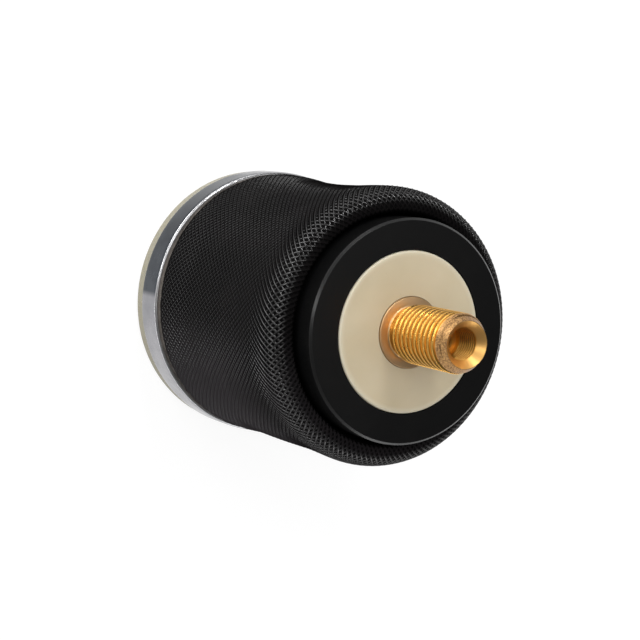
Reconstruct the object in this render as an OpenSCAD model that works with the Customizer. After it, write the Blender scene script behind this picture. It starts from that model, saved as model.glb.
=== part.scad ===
// Rolling-lobe air bellows: a rubber sleeve crimped to a closure plate at one end and to a
// piston core at the other, with a threaded air stud in the piston's foot.
// Millimetres. The plate's seat face is on z = 0 and the stud points along +Z.

/* [Sleeve] */
// Outer diameter of the sleeve at its waist
sleeve_d = 76; // [70:0.5:90]
// Thickness of the rubber and cord wall
sleeve_wall = 2.2; // [1.6:0.1:2.6]
// How far the sleeve swells above its waist just past the outer crimp ring
ring_swell = 0.9; // [0.3:0.1:1.6]
// How far the rolling lobe swells above the waist
lobe_swell = 0.55; // [0.1:0.05:1.2]
// Radial width of the folded lobe
lobe_w = 7.65; // [6.8:0.05:9]
// Height of the lobe's rounded outer shoulder
lobe_h = 7.1; // [5:0.1:9]
// Radial size of the lobe's rounded inner lip
lobe_lip = 1.9; // [1.4:0.1:2.4]
// Height of the lobe's rounded inner lip
lip_h = 3.55; // [2.5:0.05:5]
// Length over which the sleeve swells past the outer crimp ring
swell_run = 3; // [2:0.1:6]
// Length over which it settles from that swell to its waist
settle_run = 17; // [8:0.5:20]
// Length over which it rises from its waist to the lobe
lobe_run = 17; // [8:0.5:20]
// Length over which its inner wall closes in to the neck
neck_run = 6; // [4:0.1:6.6]
// How far the foot stands out past the lobe's crest at rest
foot_show = 6.2; // [4:0.1:12]

/* [Crimp rings] */
// Wall thickness of both crimp rings
ring_wall = 1.5; // [1:0.1:2]
// Height of the outer crimp ring
ring_h = 9.3; // [7:0.1:12]
// Height of the inner crimp ring
inner_ring_h = 8.4; // [6:0.1:9.5]
// How far the outer ring presses the sleeve in below its waist
crimp_squeeze = 0.1; // [0:0.05:0.6]
// Rounding of the rings' edges
ring_edge = 0.8; // [0.3:0.1:0.9]
// Depth of the grip grooves under the sleeve's ends
groove_depth = 0.8; // [0.3:0.1:1.2]
// Width of a grip groove at its root
groove_w = 0.8; // [0.4:0.1:1.2]

/* [Closure plate] */
// Thickness of the rim that shows behind the outer ring
rim_h = 4.1; // [3.8:0.1:7]
// How far the rim lies inside the ring's outer face
rim_inset = 0.4; // [0:0.1:1]
// Rounding of the rim's edge on the seat side
rim_edge = 0.8; // [0.3:0.1:1.5]
// Depth of the pockets between the ribs on the seat side
pocket_depth = 3.5; // [2:0.1:3.7]
// Thickness of the web that closes the air chamber
web_h = 3.2; // [2.4:0.1:4.5]
// Wall thickness of the spigot inside the sleeve
spigot_wall = 4; // [3:0.1:5]
// Width of the flat seat ring
seat_w = 6; // [4:0.1:7]
// Diameter of the central pad that the bump stop lands on
pad_d = 18; // [12:0.5:22]
// Number of ribs on the seat side
plate_ribs = 12; // [8:2:16]
// Thickness of a rib
rib_w = 2.2; // [1.6:0.1:3]

/* [Plate inserts] */
// Distance between the two threaded inserts
insert_pitch = 44; // [41:0.5:46]
// Outer diameter of an insert
insert_d = 11; // [10:0.1:12]
// Tapping diameter of the insert's M8 hole
insert_bore = 6.65; // [6.4:0.05:7.2]
// Length of an insert
insert_h = 13; // [11:0.1:16]
// Closed end of an insert past its hole
insert_floor = 2; // [1.5:0.1:3]
// Number of bands along an insert, every second one a grip groove
insert_bands = 5; // [5:2:9]
// Depth of an insert's grip grooves
insert_groove = 0.6; // [0.3:0.1:1]
// Nylon left around an insert and over its closed end
boss_wall = 2.5; // [2:0.1:3.2]

/* [Piston] */
// Length of the piston from its crown to the face of its core
piston_len = 61.7; // [56:0.1:80]
// Diameter of the core, which shows as a disc in the foot
core_d = 44; // [40:0.5:46]
// How far the skirt's foot lies behind the core's face
foot_drop = 0.2; // [0:0.05:1]
// Diameter of the hollow in the core
core_bore = 34; // [32:0.5:36]
// Thickness of the core's floor, which holds the air stud
core_floor = 12; // [10:0.1:16]
// Height of the core's neck, where the sleeve is crimped
neck_h = 11; // [10.5:0.1:14]
// How far the neck lies inside the skirt's outer wall
neck_step = 2.6; // [2.2:0.1:3]
// Height of the flange that carries the skirt
core_flange_h = 3; // [2:0.1:5]
// Wall thickness of the skirt
skirt_wall = 2.8; // [2.2:0.1:3.2]
// Wall thickness of the skirt's inner tube
tube_wall = 2.2; // [1.8:0.1:2.6]
// Thickness of the skirt's foot
foot_h = 5; // [3.5:0.1:8]
// Chamfer round the foot
foot_edge = 0.65; // [0.2:0.05:1.2]
// Rounding of that chamfer's two corners
foot_round = 0.2; // [0.05:0.05:0.3]
// Number of ribs inside the skirt
skirt_ribs = 12; // [6:2:16]
// Rounding of the core's face
core_edge = 0.8; // [0.3:0.1:1.5]
// Height of the bead that snaps the skirt onto the core
snap_bead = 0.4; // [0.2:0.05:0.6]
// Length of each flank of that bead
snap_run = 1.2; // [0.6:0.1:2]

/* [Air stud] */
// Major diameter of the stud's M16 thread
stud_d = 16; // [14:0.5:17]
// Length of the stud above the core's face
stud_len = 26.4; // [20:0.1:40]
// Diameter of the stud's flange
flange_d = 19.3; // [18.4:0.1:24]
// Thickness of the flange
flange_h = 3; // [2:0.1:4]
// Rounding of the flange's edge
flange_edge = 0.25; // [0.1:0.05:0.45]
// How far the flange stands proud of the core's face
flange_proud = 0.5; // [0:0.1:1.5]
// Depth of the thread relief
relief_depth = 1; // [0.6:0.1:1.4]
// Length of the plain relief over the flange
relief_h = 2.5; // [1.5:0.1:4]
// Length of the lead chamfer at the stud's tip
tip_run = 3; // [1:0.1:4]
// Width of the flat rim left round the port at the tip
tip_rim = 0.15; // [0.1:0.05:0.6]
// Chamfer at the stud's tail
tail_edge = 0.9; // [0.4:0.1:1.4]
// Tapping diameter of the air port
port_d = 8.6; // [8:0.1:9.2]
// Depth of the air port's thread
port_depth = 11.1; // [8:0.1:14]
// Width of the countersink at the port's mouth
port_sink = 1.85; // [0.5:0.05:2.2]
// Diameter of the air passage
air_hole_d = 5.8; // [3:0.1:6.5]

/* [Stud fixing] */
// Cross section of the stud's O-ring
seal_cs = 1.6; // [1.2:0.1:1.8]
// Thickness of the washer inside the core
washer_h = 2.5; // [1.5:0.1:3]
// Diameter of the washer
washer_d = 30; // [28:0.5:31]
// Width across flats of the lock nut
nut_af = 24; // [22:0.5:25]
// Height of the lock nut
nut_h = 8; // [6:0.1:10]
// Stud thread left past the lock nut
stud_tail = 2; // [1:0.1:4]

/* [Bump stop] */
// Height of the bump stop under the crown
bump_h = 11.3; // [9:0.1:20]
// Diameter of the bump stop under the crown
bump_d = 48; // [44:0.5:50]
// How far the bump stop tapers in towards its landing face
bump_taper = 2; // [0.5:0.1:3]
// Depth of the groove round the bump stop
bump_groove = 2.5; // [1:0.1:3.5]
// Straight wall left on each side of that groove
bump_land = 0.8; // [0.4:0.1:1.4]
// Length of the stem that plugs into the core
bump_stem = 9; // [6:0.1:14]
// Diameter of the air passage in the bump stop
bump_hole = 10; // [7:0.5:14]
// Width of the vent slots across the landing face
vent_w = 4; // [2:0.1:6]

/* [Clearances] */
// Gap between the sleeve and what it is crimped to
crimp_gap = 0.1; // [0.05:0.05:0.2]
// Gap between the sleeve and the skirt that it rolls on
roll_gap = 0.3; // [0.2:0.05:0.5]
// Gap between pieces that plug into each other
plug_gap = 0.15; // [0.1:0.05:0.3]
// Gap between the bump stop and the plate at rest
stop_gap = 0.2; // [0.1:0.05:1]

/* [Hidden] */
$fn = 96;
cut = 0.5;
curve_steps = 10;

// Radii at the plate end, from the sleeve's waist inwards and outwards
waist_r = sleeve_d / 2;
ring_in_r = waist_r - crimp_squeeze;
ring_r = ring_in_r + ring_wall;
rim_r = ring_r - rim_inset;
crimp_r = ring_in_r - crimp_gap;
spigot_r = crimp_r - sleeve_wall - crimp_gap;
spigot_in_r = spigot_r - spigot_wall;
seat_in_r = rim_r - seat_w;

// Radii at the piston end
lobe_r = waist_r + lobe_swell;
roll_r = lobe_r - lobe_w;
skirt_r = roll_r - roll_gap;
skirt_in_r = skirt_r - skirt_wall;
crest_r = roll_r + lobe_lip;
neck_r = skirt_r - neck_step;
neck_sleeve_r = neck_r + crimp_gap;
inner_ring_in_r = neck_sleeve_r + sleeve_wall + crimp_gap;
core_r = core_d / 2;
core_bore_r = core_bore / 2;
tube_in_r = core_r + plug_gap;
stud_r = stud_d / 2;
stud_hole_r = stud_r + plug_gap;
nose_r = port_d / 2 + port_sink + tip_rim;
flange_r = flange_d / 2;
insert_hole_r = insert_d / 2;
boss_r = insert_hole_r + boss_wall;

// Heights, stacked up from the seat face
ring_top = rim_h + ring_h;
spigot_top = ring_top + ring_edge;
web_top = pocket_depth + web_h;
pad_top = insert_h + boss_wall;
crown_z = pad_top + stop_gap + bump_h;
neck_top = crown_z + neck_h;
skirt_z = neck_top + core_flange_h;
face_z = crown_z + piston_len;
foot_z = face_z - foot_drop;
floor_z = face_z - core_floor;
crest_z = foot_z - foot_show;
lobe_z = crest_z - lobe_h;
flange_top = face_z + flange_proud;
flange_z = flange_top - flange_h;
tip_z = face_z + stud_len;
nut_z = floor_z - washer_h - nut_h;
seal_z = (floor_z + flange_z) / 2;
snap_z = (skirt_z + foot_z) / 2;

// Heights along the sleeve's outer wall
sleeve_end_z = rim_h + crimp_gap;
swell_z = ring_top + swell_run;
waist_start = swell_z + settle_run;

// Points of a soft S from radius a at height z0 to radius b at height z1, without the first
function ease(a, b, z0, z1) =
    [for (i = [1 : curve_steps])
        let (t = i / curve_steps)
        [a + (b - a) * (1 - cos(180 * t)) / 2, z0 + (z1 - z0) * t]];

// Points of an elliptical arc about [r, z] with half-axes a and b, without the first
function arc(r, z, a, b, from, to) =
    [for (i = [1 : curve_steps])
        let (turn = from + (to - from) * i / curve_steps)
        [r + a * cos(turn), z + b * sin(turn)]];

// One face of the sleeve's outer wall from the crimp to the lobe, inset from the outside
function outer_wall(inset) = concat(
    [[crimp_r - inset, sleeve_end_z], [crimp_r - inset, ring_top]],
    ease(crimp_r - inset, waist_r + ring_swell - inset, ring_top, swell_z),
    ease(waist_r + ring_swell - inset, waist_r - inset, swell_z, waist_start),
    [[waist_r - inset, lobe_z - lobe_run]],
    ease(waist_r - inset, lobe_r - inset, lobe_z - lobe_run, lobe_z));

// One face of the sleeve's inner wall from the lobe down to the neck, set out from the skirt
function inner_wall(outset, top) = concat(
    [[roll_r + outset, top], [roll_r + outset, skirt_z + lobe_lip]],
    ease(roll_r + outset, neck_sleeve_r + outset, skirt_z + lobe_lip,
         skirt_z + lobe_lip - neck_run),
    [[neck_sleeve_r + outset, crown_z + crimp_gap]]);

// Closed cross section of the sleeve
function sleeve_section() =
    let (
        fold_mid = (lobe_r + roll_r) / 2,
        fold_a = lobe_w / 2 - sleeve_wall,
        fold_z = lobe_z + fold_a,
        fold_b = crest_z - sleeve_wall - fold_z,
        outside = concat(
            outer_wall(0),
            arc(crest_r, lobe_z, lobe_r - crest_r, lobe_h, 0, 90),
            arc(crest_r, crest_z - lip_h, lobe_lip, lip_h, 90, 180),
            inner_wall(0, crest_z - lip_h)),
        inside = concat(
            outer_wall(sleeve_wall),
            [[lobe_r - sleeve_wall, fold_z]],
            arc(fold_mid, fold_z, fold_a, fold_b, 0, 180),
            inner_wall(sleeve_wall, fold_z)))
    concat(outside, [for (i = [len(inside) - 1 : -1 : 0]) inside[i]]);

// Ring of height h between two radii, with its outer edges rounded
module rounded_band(in_r, out_r, z, h, edge) {
    translate([0, 0, z])
        rotate_extrude()
            polygon(concat(
                [[in_r, 0]],
                [[out_r - edge, 0]],
                arc(out_r - edge, edge, edge, edge, -90, 0),
                [[out_r, h - edge]],
                arc(out_r - edge, h - edge, edge, edge, 0, 90),
                [[in_r, h]]));
}

// Plain tube between two radii
module tube(in_r, out_r, z, h) {
    translate([0, 0, z])
        difference() {
            cylinder(r = out_r, h = h);
            translate([0, 0, -cut])
                cylinder(r = in_r, h = h + 2 * cut);
        }
}

// Radial ribs between two radii
module ribs(count, in_r, out_r, z, h) {
    for (i = [0 : count - 1])
        rotate([0, 0, (i + 0.5) * 360 / count])
            translate([in_r, -rib_w / 2, z])
                cube([out_r - in_r, rib_w, h]);
}

// Shallow grooves cut round a spigot or neck, to grip the sleeve
module grip_grooves(r, z, h, count) {
    pitch = h / (count + 1);
    for (i = [1 : count])
        translate([0, 0, z + i * pitch])
            rotate_extrude()
                polygon([
                    [r - groove_depth, -groove_w / 2],
                    [r + cut, -groove_w / 2 - groove_depth],
                    [r + cut, groove_w / 2],
                    [r - groove_depth, groove_w / 2]]);
}

// Rim, spigot and web of the plate in one revolved section
module plate_shell() {
    difference() {
        rotate_extrude()
            polygon(concat(
                [[seat_in_r, 0]],
                [[rim_r - rim_edge, 0]],
                arc(rim_r - rim_edge, rim_edge, rim_edge, rim_edge, -90, 0),
                [[rim_r, rim_h]],
                [[spigot_r, rim_h]],
                [[spigot_r, spigot_top - ring_edge]],
                arc(spigot_r - ring_edge, spigot_top - ring_edge, ring_edge, ring_edge, 0, 90),
                [[spigot_in_r, spigot_top]],
                [[spigot_in_r, web_top]],
                [[0, web_top]],
                [[0, pocket_depth]],
                [[seat_in_r, pocket_depth]]));
        grip_grooves(spigot_r, rim_h, ring_h, 3);
    }
}

module closure_plate() {
    color("#e6dfcb")
        difference() {
            union() {
                plate_shell();
                cylinder(d = pad_d, h = pad_top);
                for (side = [-1, 1])
                    translate([side * insert_pitch / 2, 0, 0])
                        cylinder(r = boss_r, h = pad_top);
                ribs(plate_ribs, pad_d / 2 - rib_w, seat_in_r + rib_w, 0, web_top - web_h / 2);
            }
            for (side = [-1, 1])
                translate([side * insert_pitch / 2, 0, -cut])
                    cylinder(r = insert_hole_r, h = insert_h + cut);
        }
}

// Blind threaded insert with two grip bands, open on the seat face
module threaded_insert(side) {
    band_h = insert_h / insert_bands;
    color("#c8a552")
        translate([side * insert_pitch / 2, 0, 0])
            difference() {
                cylinder(r = insert_hole_r, h = insert_h);
                translate([0, 0, -cut])
                    cylinder(d = insert_bore, h = insert_h - insert_floor + cut);
                for (band = [1 : 2 : insert_bands - 2])
                    tube(insert_hole_r - insert_groove, insert_hole_r + cut,
                         band * band_h, band_h);
            }
}

module left_insert() {
    threaded_insert(-1);
}

module right_insert() {
    threaded_insert(1);
}

module outer_crimp_ring() {
    color("#a9abb4")
        rounded_band(ring_in_r, ring_r, rim_h, ring_h, ring_edge);
}

module sleeve() {
    color("#2b292b")
        rotate_extrude()
            polygon(sleeve_section());
}

module inner_crimp_ring() {
    color("#a9abb4")
        rounded_band(inner_ring_in_r, inner_ring_in_r + ring_wall, crown_z + ring_edge,
                     inner_ring_h, ring_edge);
}

// Rubber buffer plugged into the core's hollow, with vent slots across its landing face
module bump_stop() {
    foot_r = bump_d / 2 - bump_taper;
    low_z = crown_z - bump_h;
    mid_z = crown_z - bump_h / 2;
    groove_h = bump_h / 2 - bump_taper - bump_land;
    color("#1c1b1d")
        difference() {
            union() {
                rotate_extrude()
                    polygon(concat(
                        [[0, low_z]],
                        [[foot_r - bump_taper, low_z]],
                        arc(foot_r - bump_taper, low_z + bump_taper, bump_taper, bump_taper,
                            -90, 0),
                        [[foot_r, mid_z - groove_h]],
                        [for (p = arc(foot_r, mid_z, bump_groove, groove_h, 90, 270))
                            [p[0], 2 * mid_z - p[1]]],
                        [[bump_d / 2, crown_z]],
                        [[0, crown_z]]));
                translate([0, 0, crown_z])
                    cylinder(r = core_bore_r - plug_gap, h = bump_stem);
            }
            translate([0, 0, low_z - cut])
                cylinder(d = bump_hole, h = bump_h + bump_stem + 2 * cut);
            for (turn = [0, 90])
                rotate([0, 0, turn + 45])
                    translate([-bump_d, -vent_w / 2, low_z - cut])
                        cube([2 * bump_d, vent_w, bump_taper + cut]);
        }
}

// Nylon core: crimp neck, flange for the skirt, stem and the floor that holds the stud
module piston_core() {
    color("#e6dfcb")
        difference() {
            rotate_extrude()
                polygon(concat(
                    [[core_bore_r, crown_z]],
                    [[neck_r - ring_edge, crown_z]],
                    arc(neck_r - ring_edge, crown_z + ring_edge, ring_edge, ring_edge, -90, 0),
                    [[neck_r, skirt_z]],
                    [[core_r, skirt_z]],
                    [[core_r, snap_z - snap_run]],
                    [[core_r + snap_bead, snap_z]],
                    [[core_r, snap_z + snap_run]],
                    [[core_r, face_z - core_edge]],
                    arc(core_r - core_edge, face_z - core_edge, core_edge, core_edge, 0, 90),
                    [[0, face_z]],
                    [[0, floor_z]],
                    [[core_bore_r - core_edge, floor_z]],
                    [[core_bore_r, floor_z - core_edge]]));
            grip_grooves(neck_r, crown_z, neck_h, 2);
            translate([0, 0, floor_z - cut])
                cylinder(r = stud_hole_r, h = core_floor + 2 * cut);
            translate([0, 0, flange_z])
                cylinder(r = flange_r + plug_gap, h = flange_h + cut);
        }
}

// Outer wall, foot and inner tube of the skirt in one revolved section
module skirt_shell() {
    toe = neck_step;
    corner = foot_round * tan(45 / 2);
    rotate_extrude()
        polygon(concat(
            [[tube_in_r, skirt_z]],
            [[tube_in_r + tube_wall, skirt_z]],
            [[tube_in_r + tube_wall, foot_z - foot_h]],
            [[skirt_in_r, foot_z - foot_h]],
            [[skirt_in_r, skirt_z]],
            [[skirt_r - toe, skirt_z]],
            arc(skirt_r - toe, skirt_z + toe, toe, toe, -90, 0),
            [[skirt_r, foot_z - foot_edge - corner]],
            arc(skirt_r - foot_round, foot_z - foot_edge - corner, foot_round, foot_round, 0, 45),
            [[skirt_r - foot_edge + corner * cos(45), foot_z - corner * sin(45)]],
            arc(skirt_r - foot_edge - corner, foot_z - foot_round, foot_round, foot_round, 45, 90),
            [[tube_in_r, foot_z]],
            [[tube_in_r, snap_z + snap_run]],
            [[tube_in_r + snap_bead, snap_z]],
            [[tube_in_r, snap_z - snap_run]]));
}

module piston_skirt() {
    color("#2a2a2d") {
        skirt_shell();
        ribs(skirt_ribs, tube_in_r + tube_wall / 2, skirt_in_r + skirt_wall / 2,
             skirt_z + neck_step, foot_z - skirt_z - neck_step - foot_h / 2);
    }
}

// Hollow stud: flange, relieved thread, tail for the lock nut, port and air passage
module air_stud() {
    groove_r = stud_r - seal_cs;
    tail_z = nut_z - stud_tail;
    color("#d2ab54")
        difference() {
            rotate_extrude()
                polygon(concat(
                    [[0, tail_z]],
                    [[stud_r - tail_edge, tail_z]],
                    [[stud_r, tail_z + tail_edge]],
                    [[stud_r, seal_z - seal_cs / 2 - crimp_gap]],
                    [[groove_r, seal_z - seal_cs / 2 - crimp_gap]],
                    [[groove_r, seal_z + seal_cs / 2 + crimp_gap]],
                    [[stud_r, seal_z + seal_cs / 2 + crimp_gap]],
                    [[stud_r, flange_z]],
                    [[flange_r, flange_z]],
                    [[flange_r, flange_top - flange_edge]],
                    arc(flange_r - flange_edge, flange_top - flange_edge, flange_edge,
                        flange_edge, 0, 90),
                    [[stud_r - relief_depth, flange_top]],
                    [[stud_r - relief_depth, flange_top + relief_h]],
                    [[stud_r, flange_top + relief_h + relief_depth]],
                    [[stud_r, tip_z - tip_run]],
                    [[nose_r, tip_z]],
                    [[0, tip_z]]));
            translate([0, 0, tip_z - port_depth])
                cylinder(d = port_d, h = port_depth + cut);
            translate([0, 0, tip_z - port_sink])
                cylinder(r1 = port_d / 2, r2 = port_d / 2 + port_sink + cut, h = port_sink + cut);
            translate([0, 0, tail_z - cut])
                cylinder(d = air_hole_d, h = tip_z - tail_z);
        }
}

module stud_o_ring() {
    color("#1c1b1d")
        translate([0, 0, seal_z])
            rotate_extrude()
                translate([stud_r + crimp_gap - seal_cs / 2, 0])
                    circle(d = seal_cs);
}

module stud_washer() {
    color("#b4b6bd")
        tube(stud_hole_r, washer_d / 2, floor_z - washer_h, washer_h);
}

module stud_nut() {
    corner_d = nut_af / cos(30);
    color("#b4b6bd")
        translate([0, 0, nut_z])
            difference() {
                intersection() {
                    cylinder(d = corner_d, h = nut_h, $fn = 6);
                    cylinder(d1 = nut_af + nut_h, d2 = nut_af, h = nut_h);
                    cylinder(d1 = nut_af, d2 = nut_af + nut_h, h = nut_h);
                }
                translate([0, 0, -cut])
                    cylinder(r = stud_r + crimp_gap / 2, h = nut_h + 2 * cut);
            }
}

closure_plate();
left_insert();
right_insert();
outer_crimp_ring();
sleeve();
inner_crimp_ring();
bump_stop();
piston_core();
piston_skirt();
air_stud();
stud_o_ring();
stud_washer();
stud_nut();
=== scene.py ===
"""Dresses a rolling-lobe air bellows: woven sleeve, cut threads, finishes, studio and camera."""

import logging
import math
from dataclasses import dataclass
from enum import Enum
from typing import Callable, Optional, Sequence

import bmesh
import bpy
from mathutils import Matrix, Vector, noise


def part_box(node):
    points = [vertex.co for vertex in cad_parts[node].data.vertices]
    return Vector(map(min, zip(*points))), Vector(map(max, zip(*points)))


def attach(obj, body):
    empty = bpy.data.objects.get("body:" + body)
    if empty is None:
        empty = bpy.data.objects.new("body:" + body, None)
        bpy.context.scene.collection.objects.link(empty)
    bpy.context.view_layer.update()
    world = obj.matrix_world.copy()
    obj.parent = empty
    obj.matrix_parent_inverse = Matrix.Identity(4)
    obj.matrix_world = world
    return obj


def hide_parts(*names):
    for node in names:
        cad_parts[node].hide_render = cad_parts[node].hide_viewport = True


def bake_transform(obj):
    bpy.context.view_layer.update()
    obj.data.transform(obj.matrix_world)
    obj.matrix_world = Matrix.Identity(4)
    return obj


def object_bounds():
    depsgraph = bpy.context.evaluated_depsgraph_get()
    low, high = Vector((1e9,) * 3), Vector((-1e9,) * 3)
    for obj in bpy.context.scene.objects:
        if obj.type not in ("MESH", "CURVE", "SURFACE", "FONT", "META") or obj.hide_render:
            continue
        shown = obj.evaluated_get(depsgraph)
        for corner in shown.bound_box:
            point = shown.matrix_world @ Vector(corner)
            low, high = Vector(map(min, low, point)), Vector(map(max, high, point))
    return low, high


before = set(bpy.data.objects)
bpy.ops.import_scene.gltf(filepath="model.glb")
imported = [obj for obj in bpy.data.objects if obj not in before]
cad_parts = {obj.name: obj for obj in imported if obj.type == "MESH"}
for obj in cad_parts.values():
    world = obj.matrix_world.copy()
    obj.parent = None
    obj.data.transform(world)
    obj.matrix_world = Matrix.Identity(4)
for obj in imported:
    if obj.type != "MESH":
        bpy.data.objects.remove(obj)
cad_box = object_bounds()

log = logging.getLogger("bellows")

MM = 0.001
TAU = 2.0 * math.pi
JOIN = 0.0001 * MM
SLIGHT = 1e-9

# The inputs and the output of Blender's Mix node that carry its share and its colours
MIX_SHARE, MIX_A, MIX_B, MIX_RESULT = 0, 6, 7, 2

Point = tuple[float, float]
Span = tuple[float, float]
Colour = tuple[float, float, float]
Socket = bpy.types.NodeSocket
Cut = Callable[[float, float, float], float]


class Body(Enum):
    """The bodies that the pieces ride on."""

    PLATE = "plate_end"
    LOBE = "rolling_lobe"
    PISTON = "piston_end"


class Slot(Enum):
    """Names of material slots, which seat takes with a piece but doesn't use."""

    STEEL = "zinc_steel"
    BRASS = "brass"
    SLEEVE = "sleeve_rubber"
    RUBBER = "soft_rubber"


class ThreadSide(Enum):
    """Whether a thread is cut into the outside of a stud or the wall of a hole."""

    OUTSIDE = -1
    INSIDE = 1


class CordHand(Enum):
    """Which way the sleeve's cords turn as they climb."""

    LEFT_HAND = -1
    RIGHT_HAND = 1


# Profiles: lists of (radius, height) points in metres

def limited(share: float) -> float:
    """Limits a share to the range from 0 to 1."""
    return min(1.0, max(0.0, share))


def ease(a: float, b: float, z0: float, z1: float, steps: int) -> list[Point]:
    """Gives a soft S between two radii, without its first point.

    Args:
        a: Radius at the start.
        b: Radius at the end.
        z0: Height at the start.
        z1: Height at the end.
        steps: Number of points.

    Returns:
        The points after the start.
    """
    shares = [i / steps for i in range(1, steps + 1)]
    return [(a + (b - a) * (1 - math.cos(math.pi * t)) / 2, z0 + (z1 - z0) * t) for t in shares]


def arc(centre: Point, half: Point, start: float, stop: float, steps: int) -> list[Point]:
    """Gives an elliptical arc, without its first point.

    Args:
        centre: Radius and height of the arc's centre.
        half: Half-axes along the radius and the height.
        start: Start angle in degrees.
        stop: End angle in degrees.
        steps: Number of points.

    Returns:
        The points after the start.
    """
    turns = [math.radians(start + (stop - start) * i / steps) for i in range(1, steps + 1)]
    return [(centre[0] + half[0] * math.cos(t), centre[1] + half[1] * math.sin(t)) for t in turns]


def refine(points: Sequence[Point], step: float) -> list[Point]:
    """Splits the long stretches of a profile.

    Args:
        points: The profile.
        step: Longest stretch that stays whole.

    Returns:
        The profile with points added along its long stretches.
    """
    fine = [points[0]]
    for (r0, z0), (r1, z1) in zip(points, points[1:]):
        parts = max(1, math.ceil(math.hypot(r1 - r0, z1 - z0) / step))
        for i in range(1, parts + 1):
            t = i / parts
            fine.append((r0 + (r1 - r0) * t, z0 + (z1 - z0) * t))
    return fine


def evenly(points: Sequence[Point], step: float) -> list[Point]:
    """Gives points at even steps along a profile.

    Args:
        points: The profile.
        step: Distance between the points, along the profile.

    Returns:
        The points, from the profile's first one on.
    """
    spread = [points[0]]
    ahead = step
    for (r0, z0), (r1, z1) in zip(points, points[1:]):
        length = math.hypot(r1 - r0, z1 - z0)
        while ahead <= length:
            spread.append((r0 + (r1 - r0) * ahead / length, z0 + (z1 - z0) * ahead / length))
            ahead += step
        ahead -= length
    return spread


# Meshes

def link(obj: bpy.types.Object) -> bpy.types.Object:
    """Puts an object into the scene and returns it."""
    bpy.context.scene.collection.objects.link(obj)
    return obj


def spun(turn: float, r: float, z: float) -> tuple[float, float, float]:
    """Gives the place at an angle round the axis, a radius and a height."""
    return r * math.cos(turn), r * math.sin(turn), z


def quad(bm: bmesh.types.BMesh, corners: Sequence[bmesh.types.BMVert], marks: Sequence[Point]) -> None:
    """Adds a face.

    Args:
        bm: The mesh that it goes into.
        corners: Its four corners in order.
        marks: Their places on the UV map.
    """
    face = bm.faces.new(corners)
    uv = bm.loops.layers.uv.active
    for loop, mark in zip(face.loops, marks):
        loop[uv].uv = mark


def lathe(
    name: str,
    profile: Sequence[Point],
    columns: int,
    shift: Optional[Cut] = None,
    sharp_deg: float = 60.0,
    extra: Optional[Callable[[bmesh.types.BMesh], None]] = None,
) -> bpy.types.Object:
    """Turns a profile about the bellows' axis into a closed mesh with a UV map.

    Args:
        name: Name of the piece.
        profile: Points in order along the section, of which the last joins the first.
        columns: Number of steps round the axis.
        shift: Radius for an angle, radius and height, where it isn't the profile's own.
        sharp_deg: Edges sharper than this stay crisp.
        extra: Adds the faces between the last point and the first, where a turned strip won't do.

    Returns:
        The new object, at the origin.
    """
    bm = bmesh.new()
    bm.loops.layers.uv.new("round_and_along")
    along = [0.0]
    for (r0, z0), (r1, z1) in zip(profile, profile[1:]):
        along.append(along[-1] + math.hypot(r1 - r0, z1 - z0))
    turns = [TAU * c / columns for c in range(columns)]
    rows = [[bm.verts.new(spun(t, shift(t, r, z) if shift else r, z)) for t in turns] for r, z in profile]
    count = len(rows)
    for i in range(count - 1 if extra else count):
        j = (i + 1) % count
        for c in range(columns):
            d = (c + 1) % columns
            left, right = c / columns, (c + 1) / columns
            marks = ((left, along[i]), (right, along[i]), (right, along[j]), (left, along[j]))
            quad(bm, (rows[i][c], rows[i][d], rows[j][d], rows[j][c]), marks)
    if extra:
        extra(bm)
        bmesh.ops.remove_doubles(bm, verts=bm.verts, dist=JOIN)
    bmesh.ops.recalc_face_normals(bm, faces=bm.faces)
    mesh = bpy.data.meshes.new(name)
    bm.to_mesh(mesh)
    bm.free()
    mesh.shade_smooth()
    mesh.set_sharp_from_angle(angle=math.radians(sharp_deg))
    return link(bpy.data.objects.new(name, mesh))


@dataclass(frozen=True)
class Thread:
    """A screw thread, right-handed, with its crest, root and run-out as shares of the pitch."""

    pitch: float
    depth: float
    start_z: float
    end_z: float
    side: ThreadSide
    crest: float = 0.34
    root: float = 0.08
    runout: float = 0.5

    def offset(self, turn: float, z: float) -> float:
        """Gives how far the thread lies from its crest.

        Args:
            turn: Angle round the axis.
            z: Height along the axis.

        Returns:
            The depth of the cut there.
        """
        phase = ((z - self.start_z) / self.pitch - turn / TAU) % 1.0
        climb = abs(2.0 * phase - 1.0)
        share = limited((climb - self.root) / (1.0 - self.root - self.crest))
        return self.depth * (1.0 - share * share * (3.0 - 2.0 * share))

    def radius(self, turn: float, r: float, z: float) -> float:
        """Gives the cut radius, which runs out at both ends of the thread.

        Args:
            turn: Angle round the axis.
            r: Radius of the plain stud or hole.
            z: Height along the axis.

        Returns:
            The radius there.
        """
        fade = limited(min(z - self.start_z, self.end_z - z) / (self.runout * self.pitch))
        return r + self.side.value * self.offset(turn, z) * fade


# Shader building

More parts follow.
